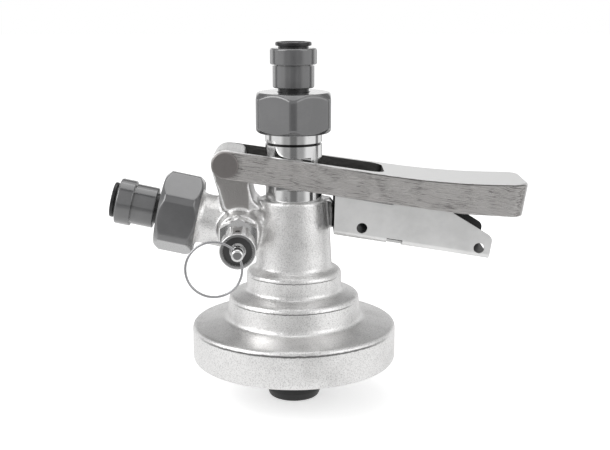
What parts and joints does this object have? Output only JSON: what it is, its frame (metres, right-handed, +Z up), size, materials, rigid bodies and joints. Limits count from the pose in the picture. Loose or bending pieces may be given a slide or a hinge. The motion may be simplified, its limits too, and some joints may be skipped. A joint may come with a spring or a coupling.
{
  "type": "keg coupler",
  "caption": "Round bayonet keg coupler with a forked lever that drives a sliding probe, a sprung latch, a relief valve with pull ring, and push-in beer and gas fittings.",
  "frame": {"origin": "centre of the face under the base that seats on the keg, on the probe's axis", "axes": "+Z up the probe's axis, away from the keg; +X along the lever, from its hinge to its grip"},
  "size_m": [0.1581, 0.0877, 0.138],
  "materials": {
    "cast_body": "satin cast and plated",
    "polished_steel": "polished",
    "brushed_lever": "coarsely brushed sides, polished top",
    "satin_sheet": "satin sheet",
    "pin_steel": "fine turned",
    "spring_steel": "drawn wire",
    "grey_plastic": "moulded, fine matte",
    "black_plastic": "moulded, satin",
    "white_plastic": "smooth",
    "black_rubber": "moulded rubber"
  },
  "bodies": {
    "body": {"coupler_body": "cast_body", "keg_gasket": "black_rubber", "probe_ring_seal": "black_rubber", "hinge_pin": "pin_steel", "gas_nut": "grey_plastic", "gas_washer": "black_rubber", "gas_tail": "black_plastic", "gas_shell": "grey_plastic", "gas_tube_ring": "black_rubber", "gas_grab_ring": "spring_steel", "gas_cap": "grey_plastic", "gas_check_valve": "black_rubber", "relief_body": "polished_steel", "relief_cap": "polished_steel", "relief_spring": "spring_steel"},
    "lever": {"lever": "brushed_lever", "latch_pin": "pin_steel", "latch_spring": "spring_steel"},
    "latch": {"latch": "satin_sheet"},
    "probe": {"probe": "polished_steel", "probe_seal": "black_rubber", "ball_cage": "black_plastic", "beer_nut": "grey_plastic", "beer_washer": "black_rubber", "beer_tail": "black_plastic", "beer_shell": "grey_plastic", "beer_tube_ring": "black_rubber", "beer_grab_ring": "spring_steel", "beer_cap": "grey_plastic"},
    "check_ball": {"beer_check_ball": "white_plastic"},
    "beer_collet": {"beer_collet": "black_plastic"},
    "gas_collet": {"gas_collet": "black_plastic"},
    "relief_stem": {"relief_stem": "polished_steel", "relief_pad": "black_rubber"},
    "pull_ring": {"pull_ring": "spring_steel"}
  },
  "joints": [
    {"name": "lever_swing", "type": "hinge", "parent": "body", "child": "lever", "pos_m": [-0.0252, 0, 0.078], "axis": [0, -1, 0], "range_deg": [0, 36]},
    {"name": "latch_squeeze", "type": "hinge", "parent": "lever", "child": "latch", "pos_m": [0.04098, 0, 0.06752], "axis": [0, -1, 0], "range_deg": [0, 8], "stiffness_Nm_per_rad": 0.3, "springref_deg": -11.46},
    {"name": "probe_slide", "type": "slide", "parent": "body", "child": "probe", "axis": [0, 0, 1], "range_m": [0, 0.01562]},
    {"name": "check_ball_lift", "type": "slide", "parent": "probe", "child": "check_ball", "axis": [0, 0, 1], "range_m": [0, 0.003]},
    {"name": "beer_collet_press", "type": "slide", "parent": "probe", "child": "beer_collet", "axis": [0, 0, -1], "range_m": [0, 0.00075]},
    {"name": "gas_collet_press", "type": "slide", "parent": "body", "child": "gas_collet", "axis": [0.9781, 0, -0.2079], "range_m": [0, 0.00075]},
    {"name": "relief_pull", "type": "slide", "parent": "body", "child": "relief_stem", "axis": [0.0419, -0.9991, 0], "range_m": [0, 0.0025], "stiffness_N_per_m": 600, "springref_m": -0.003, "deforming": ["relief_spring"]},
    {"name": "pull_ring_swing", "type": "hinge", "parent": "relief_stem", "child": "pull_ring", "pos_m": [-0.01899, -0.04546, 0.0524], "axis": [-0.5442, -0.0228, 0.8387], "range_deg": [0, 85]}
  ],
  "couplings": [
    {"joint": "probe_slide", "follows": "lever_swing", "m_per_rad": 0.02477}
  ]
}
